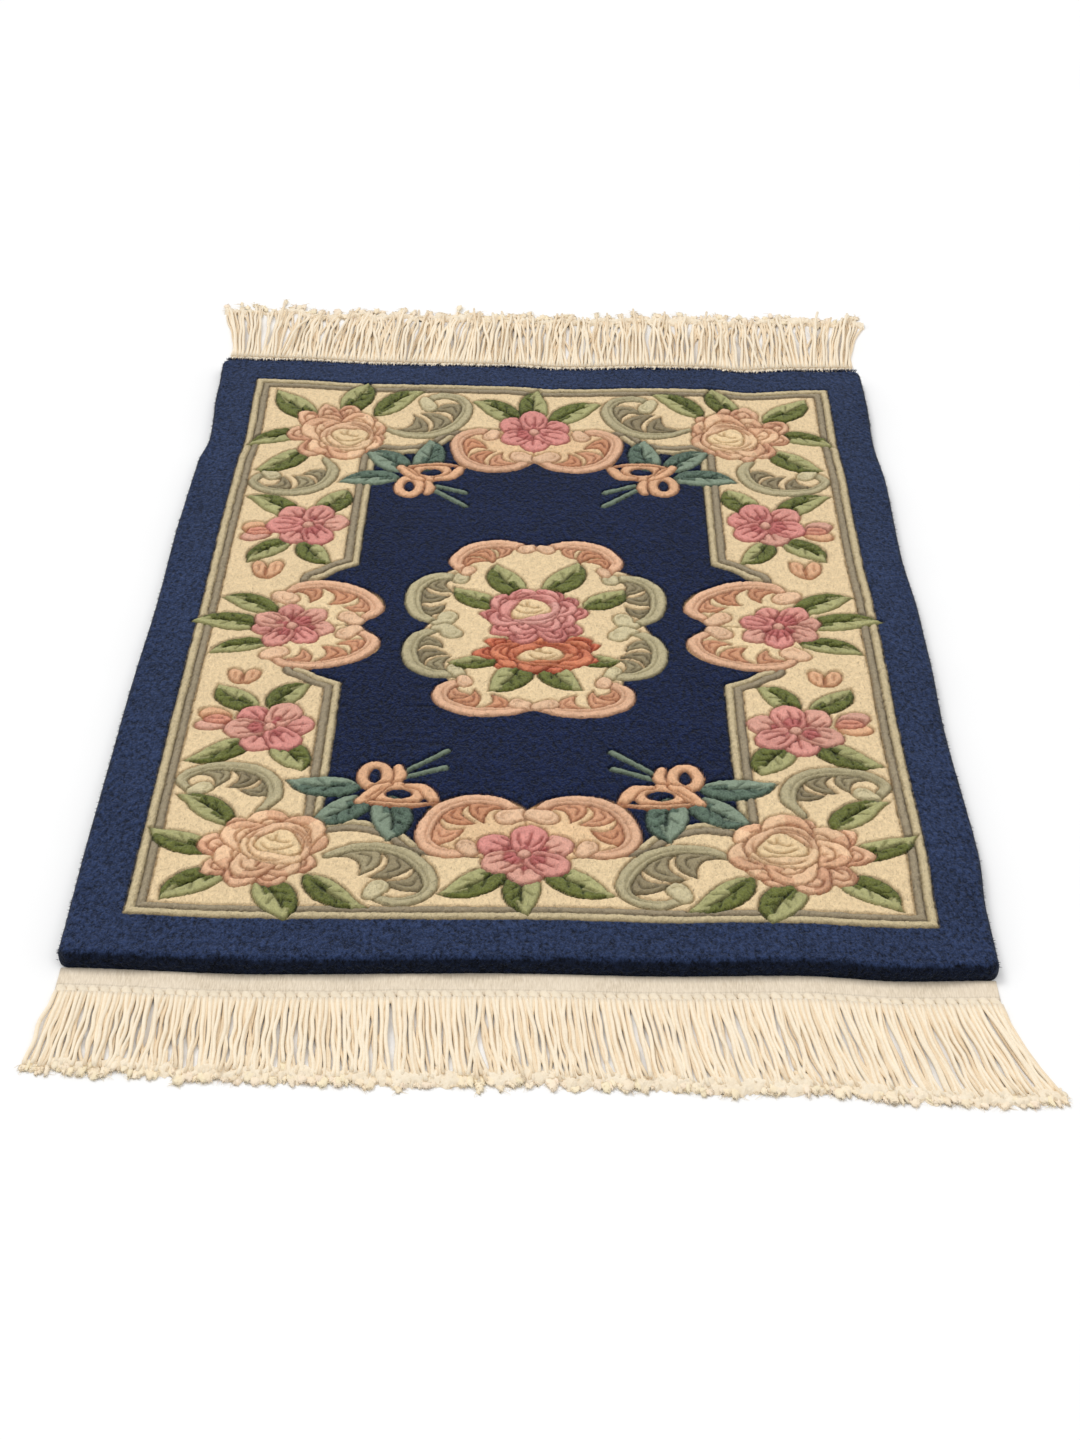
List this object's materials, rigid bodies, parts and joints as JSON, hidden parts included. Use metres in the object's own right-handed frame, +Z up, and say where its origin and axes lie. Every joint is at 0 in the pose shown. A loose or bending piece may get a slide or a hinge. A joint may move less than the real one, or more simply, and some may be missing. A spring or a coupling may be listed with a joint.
{
  "type": "rug",
  "caption": "Flat rectangular knotted wool rug with carved flower relief, end bands and a knotted fringe at both ends.",
  "frame": {"origin": "centre of the flat underside of the pile area, on the floor", "axes": "+Y runs along the rug's length from the front fringe to the back fringe, +Z is up out of the pile, +X is to the right"},
  "size_m": [0.6507, 1.1921, 0.0148],
  "materials": {
    "wool_pile": "matt cut wool pile, navy ground",
    "cotton_front": "undyed cotton yarn",
    "cotton_back": "undyed cotton yarn"
  },
  "bodies": {
    "root": {"rug_body": "wool_pile", "fringe_front": "cotton_front", "fringe_back": "cotton_back"}
  },
  "joints": []
}
